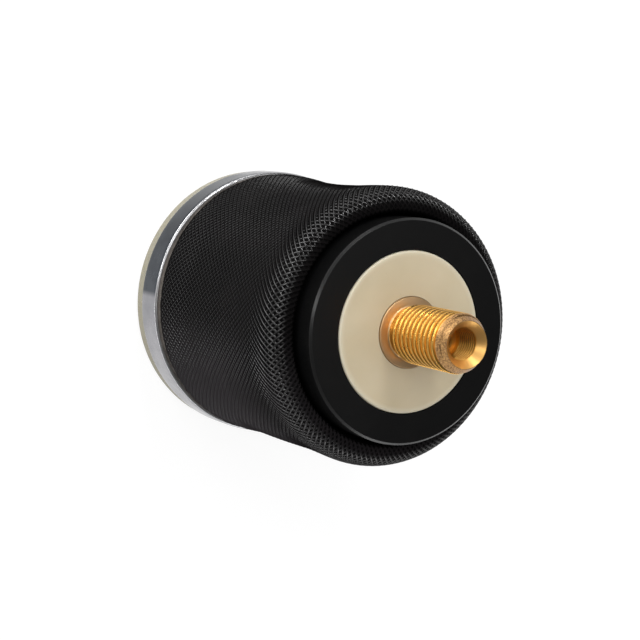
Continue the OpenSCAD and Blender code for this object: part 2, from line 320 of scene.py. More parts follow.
class Pen:
    """Adds nodes to one tree and joins them."""

    def __init__(self, tree: bpy.types.NodeTree) -> None:
        """Starts with an empty tree."""
        self.tree = tree
        tree.nodes.clear()

    def feed(self, socket: Socket, value: object) -> None:
        """Links an output to an input, or sets the input's own value.

        Args:
            socket: The input.
            value: The output to link, or a value.
        """
        if isinstance(value, Socket):
            self.tree.links.new(value, socket)
        else:
            socket.default_value = value

    def put(self, node: bpy.types.Node, name: str, value: object) -> None:
        """Feeds the input of a node that has a name."""
        self.feed(next(s for s in node.inputs if s.name == name and s.enabled), value)

    def add(self, kind: str, **values: object) -> bpy.types.Node:
        """Adds a node.

        Args:
            kind: The node's type name.
            values: Properties of the node, or links and defaults for its inputs, where
                spaces in a socket's name are underscores.

        Returns:
            The new node.
        """
        node = self.tree.nodes.new(kind)
        for key, value in values.items():
            if hasattr(node, key):
                setattr(node, key, value)
            else:
                self.put(node, key.replace("_", " "), value)
        return node

    def math(self, operation: str, a: object, b: object = 0.0) -> Socket:
        """Adds a Math node.

        Args:
            operation: The node's operation.
            a: The first term.
            b: The second term.

        Returns:
            The result.
        """
        node = self.add("ShaderNodeMath", operation=operation)
        for socket, value in zip(node.inputs, (a, b)):
            self.feed(socket, value)
        return node.outputs[0]

    def noise(self, vector: Socket, scale: object, detail: float, rough: float = 0.5) -> Socket:
        """Adds a Noise texture and returns its value."""
        values = {"Vector": vector, "Scale": scale, "Detail": detail, "Roughness": rough}
        return self.add("ShaderNodeTexNoise", **values).outputs["Fac"]

    def mix(self, share: object, a: object, b: object) -> Socket:
        """Mixes two colours.

        Args:
            share: How much of the second colour shows.
            a: The first colour.
            b: The second colour.

        Returns:
            The mixed colour.
        """
        node = self.add("ShaderNodeMix", data_type="RGBA")
        for index, value in ((MIX_SHARE, share), (MIX_A, a), (MIX_B, b)):
            self.feed(node.inputs[index], (*value, 1.0) if isinstance(value, tuple) else value)
        return node.outputs[MIX_RESULT]

    def ramp(
        self,
        value: Socket,
        low: float,
        high: float,
        to_low: float = 0.0,
        to_high: float = 1.0,
    ) -> Socket:
        """Maps a value from one range to another, clamped.

        Args:
            value: The value.
            low: Start of its range.
            high: End of its range.
            to_low: Result at the start.
            to_high: Result at the end.

        Returns:
            The result.
        """
        node = self.add("ShaderNodeMapRange", clamp=True, Value=value)
        limits = {"From Min": low, "From Max": high, "To Min": to_low, "To Max": to_high}
        for name, number in limits.items():
            self.put(node, name, number)
        return node.outputs["Result"]

    def parts(self, vector: Socket) -> tuple[Socket, Socket, Socket]:
        """Gives the X, Y and Z of a vector."""
        return tuple(self.add("ShaderNodeSeparateXYZ", Vector=vector).outputs)

    def radius(self, place: Socket) -> Socket:
        """Gives the distance of a place from the bellows' axis."""
        x, y, _ = self.parts(place)
        return self.math("SQRT", self.math("ADD", self.math("MULTIPLY", x, x), self.math("MULTIPLY", y, y)))

    def facing(self) -> Socket:
        """Gives how far the surface faces along the axis, from -1 to 1."""
        return self.parts(self.add("ShaderNodeTexCoord").outputs["Normal"])[2]


def new_group(name: str, ins: dict[str, float], outs: Sequence[str]) -> tuple[Pen, bpy.types.Node]:
    """Starts a shader node group with a Vector input.

    Args:
        name: Name of the group.
        ins: Names of its number inputs, with their defaults.
        outs: Names of its number outputs.

    Returns:
        A pen for the group, and the node that holds its inputs.
    """
    tree = bpy.data.node_groups.new(name, "ShaderNodeTree")
    tree.interface.new_socket("Vector", in_out="INPUT", socket_type="NodeSocketVector")
    for label, value in ins.items():
        socket = tree.interface.new_socket(label, in_out="INPUT", socket_type="NodeSocketFloat")
        socket.default_value = value
    for label in outs:
        tree.interface.new_socket(label, in_out="OUTPUT", socket_type="NodeSocketFloat")
    pen = Pen(tree)
    return pen, pen.add("NodeGroupInput")


@dataclass(frozen=True)
class MouldedGrain:
    """The shader group for a moulded skin: fine grain, broad mottle and faint specks."""

    grain_scale: float = 4000.0
    mottle_scale: float = 60.0
    specks_to_mottle: float = 14.0
    speck_span: Span = (0.02, 0.12)
    sparse_scale: float = 900.0
    sparse_share: float = 0.6

    def build(self) -> bpy.types.NodeTree:
        """Builds the group.

        Returns:
            Its tree.
        """
        ins = {"Grain": self.grain_scale, "Mottle": self.mottle_scale}
        pen, source = new_group("moulded_grain", ins, ("Height", "Mottle", "Specks"))
        vector, grain, mottle = (source.outputs[name] for name in ("Vector", "Grain", "Mottle"))
        speck_scale = pen.math("MULTIPLY", mottle, self.specks_to_mottle)
        specks = pen.add("ShaderNodeTexVoronoi", Vector=vector, Scale=speck_scale).outputs["Distance"]
        patches = pen.noise(vector, self.sparse_scale, detail=1.0)
        sparse = pen.math("GREATER_THAN", patches, self.sparse_share)
        out = pen.add("NodeGroupOutput")
        pen.put(out, "Height", pen.noise(vector, grain, detail=3.0))
        pen.put(out, "Mottle", pen.noise(vector, mottle, detail=4.0))
        pen.put(out, "Specks", pen.math("MULTIPLY", pen.ramp(specks, *self.speck_span, 1.0, 0.0), sparse))
        return pen.tree


@dataclass(frozen=True)
class HandlingWear:
    """The shader group for handled metal: fine lines round the axis, smudges and nicks."""

    line_scale: float = 2600.0
    line_stretch: float = 0.02
    smudge_scale: float = 70.0
    smudge_rough: float = 0.62
    nick_scale: float = 130.0
    nick_span: Span = (0.03, 0.07)
    rare_scale: float = 42.0
    rare_share: float = 0.6

    def build(self) -> bpy.types.NodeTree:
        """Builds the group.

        Returns:
            Its tree.
        """
        ins = {"Lines": self.line_scale, "Smudge": self.smudge_scale}
        pen, source = new_group("handling_wear", ins, ("Lines", "Smudge", "Nicks"))
        vector, lines, smudge = (source.outputs[name] for name in ("Vector", "Lines", "Smudge"))
        x, y, z = pen.parts(vector)
        slow_x, slow_y = (pen.math("MULTIPLY", value, self.line_stretch) for value in (x, y))
        stretched = pen.add("ShaderNodeCombineXYZ", X=slow_x, Y=slow_y, Z=z).outputs[0]
        nicks = pen.add("ShaderNodeTexVoronoi", Vector=vector, Scale=self.nick_scale).outputs["Distance"]
        rare = pen.math("GREATER_THAN", pen.noise(vector, self.rare_scale, detail=1.0), self.rare_share)
        out = pen.add("NodeGroupOutput")
        pen.put(out, "Lines", pen.noise(stretched, lines, detail=4.0))
        pen.put(out, "Smudge", pen.noise(vector, smudge, detail=6.0, rough=self.smudge_rough))
        pen.put(out, "Nicks", pen.math("MULTIPLY", pen.ramp(nicks, *self.nick_span, 1.0, 0.0), rare))
        return pen.tree


@dataclass(frozen=True)
class Groups:
    """The shader groups that several finishes share."""

    grain: bpy.types.NodeTree
    wear: bpy.types.NodeTree

    @classmethod
    def build(cls) -> "Groups":
        """Builds each group once."""
        return cls(grain=MouldedGrain().build(), wear=HandlingWear().build())


# Finishes

MOTTLE_SPAN: Span = (0.3, 0.7)
# Painted shade: the plate is the core's nylon, given a darker, greyer colour for the shade it lies in.
SHADED_IVORY: Colour = (0.34, 0.315, 0.233)


class Finish:
    """Base of the finishes: a material with one Principled shader."""

    def start(self, name: str) -> tuple[bpy.types.Material, Pen, bpy.types.Node, Socket]:
        """Starts a material.

        Args:
            name: Name of the material.

        Returns:
            The material, a pen for it, its Principled node and its Object coordinates.
        """
        material = bpy.data.materials.new(name)
        material.use_nodes = True
        pen = Pen(material.node_tree)
        shader = pen.add("ShaderNodeBsdfPrincipled")
        pen.add("ShaderNodeOutputMaterial", Surface=shader.outputs["BSDF"])
        return material, pen, shader, pen.add("ShaderNodeTexCoord").outputs["Object"]

    def use(self, pen: Pen, tree: bpy.types.NodeTree, place: Socket, **values: float) -> bpy.types.Node:
        """Places a shared group in a material, with its own values."""
        return pen.add("ShaderNodeGroup", node_tree=tree, Vector=place, **values)

    def bump(self, pen: Pen, shader: bpy.types.Node, height: Socket, depth: float, strength: float) -> None:
        """Bumps a shader's normal by a height map, with its depth in metres."""
        node = pen.add("ShaderNodeBump", Strength=strength, Distance=depth, Height=height)
        pen.put(shader, "Normal", node.outputs["Normal"])


@dataclass(frozen=True)
class NylonFinish(Finish):
    """Natural ivory nylon, slightly translucent, with a satin moulded skin."""

    name: str
    light: Colour = (0.595, 0.515, 0.362)
    deep: Colour = (0.53, 0.45, 0.30)
    # Painted highlight: a paler band round the disc's edge stands for light catching that edge.
    painted_edge_light: Colour = (0.63, 0.575, 0.44)
    rim_r: float = 20.2 * MM
    rim_run: float = 1.5 * MM
    speck: Colour = (0.30, 0.22, 0.12)
    speck_share: float = 0.35
    roughness: Span = (0.36, 0.48)
    gloss: float = 0.4
    translucence: float = 0.12
    bleed: Colour = (1.0, 0.7, 0.4)
    bleed_reach: float = 1.5 * MM
    grain_scale: float = 5200.0
    mottle_scale: float = 55.0
    grain_depth: float = 0.03 * MM
    grain_strength: float = 0.35

    def build(self, groups: Groups) -> bpy.types.Material:
        """Builds the material.

        Args:
            groups: The shared shader groups.

        Returns:
            The material.
        """
        material, pen, shader, place = self.start(self.name)
        skin = self.use(pen, groups.grain, place, Grain=self.grain_scale, Mottle=self.mottle_scale).outputs
        tone = pen.ramp(skin["Mottle"], *MOTTLE_SPAN)
        # Paints the paler, lit-looking band at the disc's edge.
        painted_edge_light = pen.ramp(pen.radius(place), self.rim_r, self.rim_r + self.rim_run)
        base = pen.mix(painted_edge_light, pen.mix(tone, self.deep, self.light), self.painted_edge_light)
        specks = pen.math("MULTIPLY", skin["Specks"], self.speck_share)
        pen.put(shader, "Base Color", pen.mix(specks, base, self.speck))
        pen.put(shader, "Roughness", pen.ramp(skin["Mottle"], *MOTTLE_SPAN, *self.roughness))
        pen.put(shader, "Subsurface Weight", self.translucence)
        pen.put(shader, "Subsurface Radius", self.bleed)
        pen.put(shader, "Subsurface Scale", self.bleed_reach)
        pen.put(shader, "Specular IOR Level", self.gloss)
        self.bump(pen, shader, skin["Height"], self.grain_depth, self.grain_strength)
        return material


@dataclass(frozen=True)
class BlackPlasticFinish(Finish):
    """Black glass-filled plastic with a fine matte grain, dull on its sides and rubbed on its edge."""

    base: Colour = (0.0036, 0.0036, 0.0037)
    dust: Colour = (0.0072, 0.0070, 0.0067)
    dust_span: Span = (0.48, 0.78)
    dust_share: float = 0.35
    roughness: Span = (0.3, 0.4)
    gloss: float = 0.04
    face_coat: float = 0.26
    edge_coat: float = 0.45
    coat_roughness: float = 0.33
    side_to_edge: Span = (0.4, 0.6)
    edge_to_face: Span = (0.8, 0.95)
    grain_scale: float = 3600.0
    mottle_scale: float = 85.0
    grain_depth: float = 0.06 * MM
    grain_strength: float = 0.5

    def build(self, groups: Groups) -> bpy.types.Material:
        """Builds the material.

        Args:
            groups: The shared shader groups.

        Returns:
            The material.
        """
        material, pen, shader, place = self.start("black_plastic")
        skin = self.use(pen, groups.grain, place, Grain=self.grain_scale, Mottle=self.mottle_scale).outputs
        dusty = pen.ramp(skin["Mottle"], *self.dust_span, 0.0, self.dust_share)
        pen.put(shader, "Base Color", pen.mix(dusty, self.base, self.dust))
        pen.put(shader, "Roughness", pen.ramp(skin["Mottle"], *MOTTLE_SPAN, *self.roughness))
        pen.put(shader, "Specular IOR Level", self.gloss)
        pen.put(shader, "Coat Weight", self.rubbed(pen))
        pen.put(shader, "Coat Roughness", self.coat_roughness)
        self.bump(pen, shader, skin["Height"], self.grain_depth, self.grain_strength)
        return material

    def rubbed(self, pen: Pen) -> Socket:
        """Gives the coat: none on the sides, a little on the face, most on the edge between them.

        Args:
            pen: The material's pen.

        Returns:
            The coat's weight.
        """
        facing = pen.facing()
        face = pen.ramp(facing, *self.side_to_edge, 0.0, self.face_coat)
        above_side = pen.ramp(facing, *self.side_to_edge)
        below_face = pen.ramp(facing, *self.edge_to_face, self.edge_coat, 0.0)
        return pen.math("ADD", face, pen.math("MULTIPLY", above_side, below_face))


@dataclass(frozen=True)
class ZincFinish(Finish):
    """Bright zinc plating: pale steel with a faint lilac tint, a painted dark reflection along one stretch
    of the band, smudges and small nicks.
    """

    bright: Colour = (0.36, 0.355, 0.37)
    dull: Colour = (0.24, 0.24, 0.26)
    dull_span: Span = (0.45, 0.75)
    # Painted highlight: the rolled front edge gets a brighter colour, so that the lamps' glint along it
    # shows as a white line.
    edge: Colour = (0.54, 0.54, 0.55)
    edge_z: float = 12.9 * MM
    edge_soft: float = 0.2 * MM
    edge_roughness: float = 0.3
    # Painted reflection: these colours paint a dark, blotchy stretch of the band round the axis, standing
    # for dark surroundings reflected there.
    painted_dark_reflection: Colour = (0.017, 0.023, 0.031)
    mottle: Colour = (0.052, 0.060, 0.072)
    mottle_span: Span = (0.42, 0.62)
    dark_reflection_start_deg: float = 112.0
    dark_reflection_stop_deg: float = 176.0
    start_soft_deg: float = 24.0
    stop_soft_deg: float = 2.5
    nick: Colour = (0.02, 0.02, 0.02)
    shine_span: Span = (0.35, 0.7)
    roughness: Span = (0.16, 0.34)
    line_scale: float = 2400.0
    line_share: float = 0.25
    smudge_scale: float = 64.0
    wear_depth: float = 0.02 * MM
    wear_strength: float = 0.3

    def build(self, groups: Groups) -> bpy.types.Material:
        """Builds the material.

        Args:
            groups: The shared shader groups.

        Returns:
            The material.
        """
        material, pen, shader, place = self.start("zinc_steel")
        wear = self.use(pen, groups.wear, place, Lines=self.line_scale, Smudge=self.smudge_scale).outputs
        band = self.band(pen, place)
        clean = pen.mix(pen.ramp(wear["Smudge"], *self.dull_span), self.bright, self.dull)
        plated = pen.mix(band, self.edge, clean)
        # Painted reflection: the dark stretch is laid over the plated band by its angle round the axis.
        dark_reflection_tone = pen.mix(pen.ramp(wear["Smudge"], *self.mottle_span), self.painted_dark_reflection, self.mottle)
        reflection_painted = pen.mix(pen.math("MULTIPLY", self.dark_reflection_sector(pen, place), band), plated, dark_reflection_tone)
        pen.put(shader, "Base Color", pen.mix(wear["Nicks"], reflection_painted, self.nick))
        pen.put(shader, "Metallic", 1.0)
        shine = pen.ramp(wear["Smudge"], *self.shine_span, *self.roughness)
        smeared = pen.math("MULTIPLY", pen.math("SUBTRACT", shine, self.edge_roughness), band)
        pen.put(shader, "Roughness", pen.math("ADD", smeared, self.edge_roughness))
        lines = pen.math("MULTIPLY", wear["Lines"], self.line_share)
        height = pen.math("MULTIPLY", pen.math("SUBTRACT", lines, wear["Nicks"]), band)
        self.bump(pen, shader, height, self.wear_depth, self.wear_strength)
        return material

    def band(self, pen: Pen, place: Socket) -> Socket:
        """Gives 1 on the ring's band and 0 on its rolled front edge, which is painted brighter so that the
        lamps' glint along it shows white.
        """
        z = pen.parts(place)[2]
        return pen.ramp(z, self.edge_z, self.edge_z + self.edge_soft, 1.0, 0.0)

    def dark_reflection_sector(self, pen: Pen, place: Socket) -> Socket:
        """Gives 1 along the stretch of the ring that is painted dark as a reflection, by its angle round
        the axis.

        Args:
            pen: The material's pen.
            place: Object coordinates.

        Returns:
            The mask.
        """
        x, y, _ = pen.parts(place)
        angle = pen.math("ARCTAN2", y, x)
        start, stop = math.radians(self.dark_reflection_start_deg), math.radians(self.dark_reflection_stop_deg)
        begun = pen.ramp(angle, start - math.radians(self.start_soft_deg), start)
        ended = pen.ramp(angle, stop, stop + math.radians(self.stop_soft_deg), 1.0, 0.0)
        return pen.math("MULTIPLY", begun, ended)


@dataclass(frozen=True)
class BrassFinish(Finish):
    """Turned brass: warm yellow on the threads, satin on the flange, scuffed and pitted on the nose."""

    bright: Colour = (0.88, 0.485, 0.11)
    dull: Colour = (0.56, 0.28, 0.07)
    dull_span: Span = (0.45, 0.75)
    dull_share: float = 0.4
    satin: Colour = (0.62, 0.41, 0.22)
    scuffed: Colour = (0.52, 0.30, 0.12)
    pit: Colour = (0.17, 0.09, 0.04)
    pit_span: Span = (0.40, 0.60)
    pit_scale: float = 2600.0
    pit_rough: float = 0.7
    # Painted shade: this dark colour fills the roots of both threads.
    painted_root_shade: Colour = (0.12, 0.05, 0.014)
    mouth: Colour = (0.86, 0.50, 0.16)
    root_r: float = 7.05 * MM
    root_soft: float = 0.32 * MM
    root_z: float = 92.4 * MM
    port_r: float = 4.35 * MM
    port_root_r: float = 4.75 * MM
    port_z: float = 112.9 * MM
    mouth_z: float = 113.2 * MM
    flange_z: float = 89.5 * MM
    nose_z: float = 112.2 * MM
    rim_r: float = 6.2 * MM
    rim_soft: float = 0.05 * MM
    blend: float = 0.2 * MM
    shine_span: Span = (0.3, 0.7)
    roughness: Span = (0.22, 0.33)
    satin_roughness: float = 0.14
    line_scale: float = 5200.0
    smudge_scale: float = 190.0
    wear_depth: float = 0.02 * MM
    wear_strength: float = 0.3

    def build(self, groups: Groups) -> bpy.types.Material:
        """Builds the material.

        Args:
            groups: The shared shader groups.

        Returns:
            The material.
        """
        material, pen, shader, place = self.start("turned_brass")
        wear = self.use(pen, groups.wear, place, Lines=self.line_scale, Smudge=self.smudge_scale).outputs
        z, radius = pen.parts(place)[2], pen.radius(place)
        outside = pen.ramp(radius, self.rim_r - self.rim_soft, self.rim_r)
        below_stud = pen.math("SUBTRACT", 1.0, self.above(pen, z, self.flange_z))
        flange = pen.math("MULTIPLY", outside, below_stud)
        nose = pen.math("MULTIPLY", outside, self.above(pen, z, self.nose_z))
        dull = pen.ramp(wear["Smudge"], *self.dull_span, 0.0, self.dull_share)
        # Paints shade into the thread roots.
        root_shaded = pen.mix(self.roots(pen, z, radius), pen.mix(dull, self.bright, self.dull), self.painted_root_shade)
        cut = pen.mix(self.above(pen, z, self.mouth_z), root_shaded, self.mouth)
        speckle = pen.noise(place, self.pit_scale, detail=3.0, rough=self.pit_rough)
        pits = pen.ramp(speckle, *self.pit_span)
        worn = pen.mix(pits, self.pit, self.scuffed)
        pen.put(shader, "Base Color", pen.mix(nose, pen.mix(flange, cut, self.satin), worn))
        pen.put(shader, "Metallic", 1.0)
        shine = pen.ramp(wear["Smudge"], *self.shine_span, *self.roughness)
        inside = pen.math("LESS_THAN", radius, self.rim_r)
        satin = pen.math("MAXIMUM", pen.math("MAXIMUM", flange, nose), inside)
        duller = pen.math("MULTIPLY", satin, self.satin_roughness)
        pen.put(shader, "Roughness", pen.math("ADD", shine, duller))
        height = pen.math("ADD", wear["Lines"], pen.math("MULTIPLY", nose, pits))
        self.bump(pen, shader, height, self.wear_depth, self.wear_strength)
        return material

    def above(self, pen: Pen, z: Socket, level: float) -> Socket:
        """Gives 1 above a height and 0 below it, with a short blend."""
        return pen.ramp(z, level - self.blend, level + self.blend)

    def roots(self, pen: Pen, z: Socket, radius: Socket) -> Socket:
        """Gives 1 in the roots of the stud's two threads, which are painted dark as shade.

        Args:
            pen: The material's pen.
            z: Height along the axis.
            radius: Distance from the axis.

        Returns:
            The mask.
        """
        outside = pen.math("GREATER_THAN", radius, self.rim_r)
        inside = pen.math("SUBTRACT", 1.0, outside)
        cut = pen.math("GREATER_THAN", z, self.root_z)
        bored = pen.math("MULTIPLY", cut, pen.math("LESS_THAN", z, self.port_z))
        stud = pen.ramp(radius, self.root_r, self.root_r + self.root_soft, 1.0, 0.0)
        port = pen.ramp(radius, self.port_r, self.port_root_r)
        stud_root = pen.math("MULTIPLY", stud, pen.math("MULTIPLY", outside, cut))
        port_root = pen.math("MULTIPLY", port, pen.math("MULTIPLY", inside, bored))
        return pen.math("MAXIMUM", stud_root, port_root)


@dataclass(frozen=True)
class RubberFinish(Finish):
    """Black rubber with a soft grain, dusty in its hollows."""

    name: str
    base: Colour
    dust: Colour
    roughness: Span
    gloss: float
    grain_scale: float
    mottle_scale: float = 70.0
    dust_span: Span = (0.42, 0.72)
    grain_depth: float = 0.05 * MM
    grain_strength: float = 0.45

    def build(self, groups: Groups) -> bpy.types.Material:
        """Builds the material.

        Args:
            groups: The shared shader groups.

        Returns:
            The material.
        """
        material, pen, shader, place = self.start(self.name)
        skin = self.use(pen, groups.grain, place, Grain=self.grain_scale, Mottle=self.mottle_scale).outputs
        dusty = pen.ramp(skin["Mottle"], *self.dust_span)
        pen.put(shader, "Base Color", pen.mix(dusty, self.base, self.dust))
        pen.put(shader, "Roughness", pen.ramp(skin["Mottle"], *MOTTLE_SPAN, *self.roughness))
        pen.put(shader, "Specular IOR Level", self.gloss)
        self.bump(pen, shader, skin["Height"], self.grain_depth, self.grain_strength)
        return material


@dataclass(frozen=True)
class CordFinish(Finish):
    """Rubber over the cords: rubbed to a low shine where it faces the stud, dull over the lobe's crest."""

    base: Colour = (0.0048, 0.0043, 0.0044)
    dust: Colour = (0.0080, 0.0072, 0.0073)
    dust_span: Span = (0.42, 0.72)
    roughness: float = 0.5
    coat: float = 0.26
    coat_ior: float = 2.5
    coat_roughness: float = 0.22
    dull_to_shiny: Span = (0.25, 0.5)
    crest_to_wall: Span = (34.2 * MM, 35.6 * MM)
    # Painted reflected light: a lighter colour on the wall's -Y side, standing for a white surface's light
    # reflected there.
    low_side_haze: Colour = (0.030, 0.0265, 0.029)
    haze_depth: float = 24.0 * MM
    haze_low_z: float = 46.0 * MM
    haze_high_z: float = 68.0 * MM
    haze_share: float = 0.3
    grain_scale: float = 3800.0
    mottle_scale: float = 70.0

    def build(self, groups: Groups) -> bpy.types.Material:
        """Builds the material.

        Args:
            groups: The shared shader groups.

        Returns:
            The material.
        """
        material, pen, shader, place = self.start("sleeve_cord")
        skin = self.use(pen, groups.grain, place, Grain=self.grain_scale, Mottle=self.mottle_scale).outputs
        clean = pen.mix(pen.ramp(skin["Mottle"], *self.dust_span), self.base, self.dust)
        # Paints the lighter reflected light onto the wall's -Y side.
        pen.put(shader, "Base Color", pen.mix(self.painted_haze(pen, place), clean, self.low_side_haze))
        pen.put(shader, "Roughness", self.roughness)
        pen.put(shader, "Specular IOR Level", 0.0)
        pen.put(shader, "Coat Weight", pen.math("MULTIPLY", self.rubbed(pen, place), self.coat))
        pen.put(shader, "Coat IOR", self.coat_ior)
        pen.put(shader, "Coat Roughness", self.coat_roughness)
        return material

    def painted_haze(self, pen: Pen, place: Socket) -> Socket:
        """Gives 1 on the -Y side of the wall, which is painted lighter as reflected light, and less towards
        the lobe.

        Args:
            pen: The material's pen.
            place: Object coordinates.

        Returns:
            The mask.
        """
        _, y, z = pen.parts(place)
        low_side = pen.ramp(y, 0.0, -self.haze_depth)
        along = pen.ramp(z, self.haze_high_z, self.haze_low_z, self.haze_share, 1.0)
        return pen.math("MULTIPLY", low_side, along)

    def rubbed(self, pen: Pen, place: Socket) -> Socket:
        """Gives 1 on the sides of the cords that face the stud, outside the lobe's crest."""
        upward = pen.ramp(pen.facing(), *self.dull_to_shiny)
        return pen.math("MULTIPLY", upward, pen.ramp(pen.radius(place), *self.crest_to_wall))


@dataclass(frozen=True)
class Finishes:
    """Every finish as a built material."""

    nylon: bpy.types.Material
    plate: bpy.types.Material
    black: bpy.types.Material
    zinc: bpy.types.Material
    brass: bpy.types.Material
    wall: bpy.types.Material
    cord: bpy.types.Material
    bead: bpy.types.Material
    buffer: bpy.types.Material

    @classmethod
    def build(cls) -> "Finishes":
        """Builds each material once.

        Returns:
            The materials.
        """
        groups = Groups.build()
        # The plate's nylon is painted darker as shade, with no paler edge.
        plate = NylonFinish("shaded_nylon", light=SHADED_IVORY, deep=SHADED_IVORY, painted_edge_light=SHADED_IVORY)
        wall = RubberFinish("sleeve_rubber", base=(0.002, 0.0019, 0.002), dust=(0.004, 0.0037, 0.0037),
                            roughness=(0.44, 0.56), gloss=0.02, grain_scale=2600.0)
        bead = RubberFinish("rubber_bead", base=(0.065, 0.057, 0.050), dust=(0.150, 0.132, 0.116),
                            roughness=(0.64, 0.76), gloss=0.2, grain_scale=1500.0)
        buffer = RubberFinish("soft_rubber", base=(0.012, 0.012, 0.012), dust=(0.024, 0.023, 0.022),
                              roughness=(0.54, 0.66), gloss=0.3, grain_scale=1800.0)
        return cls(
            nylon=NylonFinish("ivory_nylon").build(groups),
            plate=plate.build(groups),
            black=BlackPlasticFinish().build(groups),
            zinc=ZincFinish().build(groups),
            brass=BrassFinish().build(groups),
            wall=wall.build(groups),
            cord=CordFinish().build(groups),
            bead=bead.build(groups),
            buffer=buffer.build(groups),
        )


def dress(obj: bpy.types.Object, material: bpy.types.Material) -> None:
    """Gives an object one material."""
    obj.data.materials.clear()
    obj.data.materials.append(material)


def dress_nodes(material: bpy.types.Material, *names: str) -> None:
    """Gives CAD nodes a material, and reports them.

    Args:
        material: The material.
        names: The nodes.
    """
    for name in names:
        dress(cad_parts[name], material)
        log.info("%s: dressed in %s", name, material.name)


def seat(obj: bpy.types.Object, body: Body, slot: Slot, *nodes: str) -> None:
    """Rides a finished piece on its body, in place of CAD nodes.

    Args:
        obj: The piece.
        body: The body that it moves with.
        slot: Not used.
        nodes: The CAD nodes that it stands for.
    """
    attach(obj, body.value)
    if nodes:
        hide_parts(*nodes)
    log.info("%s: %d faces on %s", obj.name, len(obj.data.polygons), body.value)


# Geometry Nodes

class GeometryTree:
    """A Geometry Nodes tree with named inputs, and the modifier that runs it."""

    def __init__(self, name: str, inputs: dict[str, str]) -> None:
        """Starts a tree.

        Args:
            name: Name of the tree.
            inputs: Names of its inputs with their socket types.
        """
        self.tree = bpy.data.node_groups.new(name, "GeometryNodeTree")
        self.tree.interface.new_socket("Geometry", in_out="INPUT", socket_type="NodeSocketGeometry")
        for label, kind in inputs.items():
            self.tree.interface.new_socket(label, in_out="INPUT", socket_type=kind)
        self.tree.interface.new_socket("Geometry", in_out="OUTPUT", socket_type="NodeSocketGeometry")
        self.pen = Pen(self.tree)
        self.source = self.pen.add("NodeGroupInput")

    def finish(self, geometry: Socket) -> None:
        """Ends the tree with realised instances, smooth faces and its material input.

        Args:
            geometry: What the tree has made.
        """
        realised = self.pen.add("GeometryNodeRealizeInstances", Geometry=geometry)
        shaded = self.pen.add("GeometryNodeSetShadeSmooth", Geometry=realised.outputs[0])
        material = self.source.outputs["Material"]
        painted = self.pen.add("GeometryNodeSetMaterial", Geometry=shaded.outputs[0], Material=material)
        self.pen.add("NodeGroupOutput", Geometry=painted.outputs[0])

    def run(self, name: str, mesh: bpy.types.Mesh, values: dict[str, object]) -> bpy.types.Object:
        """Runs the tree on a mesh.

        Args:
            name: Name of the finished piece.
            mesh: The mesh that goes in.
            values: Values for the named inputs.

        Returns:
            A plain mesh object of the result.
        """
        carrier = link(bpy.data.objects.new(name + "_source", mesh))
        modifier = carrier.modifiers.new(self.tree.name, "NODES")
        modifier.node_group = self.tree
        for item in self.tree.interface.items_tree:
            if item.in_out == "INPUT" and item.name in values:
                modifier[item.identifier] = values[item.name]
        graph = bpy.context.evaluated_depsgraph_get()
        made = bpy.data.meshes.new_from_object(carrier.evaluated_get(graph))
        made.name = name
        carrier.modifiers.clear()
        bpy.data.objects.remove(carrier)
        return link(bpy.data.objects.new(name, made))


def cord_weave_tree() -> GeometryTree:
    """Builds the tree that repeats one cord round the axis.

    Returns:
        The tree, with the number of cords and their material as inputs.
    """
    tree = GeometryTree("cord_weave", {"Count": "NodeSocketInt", "Material": "NodeSocketMaterial"})
    pen, cord, count = tree.pen, tree.source.outputs["Geometry"], tree.source.outputs["Count"]
    turn = pen.math("DIVIDE", TAU, count)
    angle = pen.math("MULTIPLY", pen.add("GeometryNodeInputIndex").outputs[0], turn)
    spin = pen.add("ShaderNodeCombineXYZ", Z=angle).outputs[0]
    points = pen.add("GeometryNodeMeshLine", Count=count, Offset=(0.0, 0.0, 0.0)).outputs[0]
    placed = pen.add("GeometryNodeInstanceOnPoints", Points=points, Instance=cord, Rotation=spin)
    tree.finish(placed.outputs[0])
    return tree


# Sub-assemblies

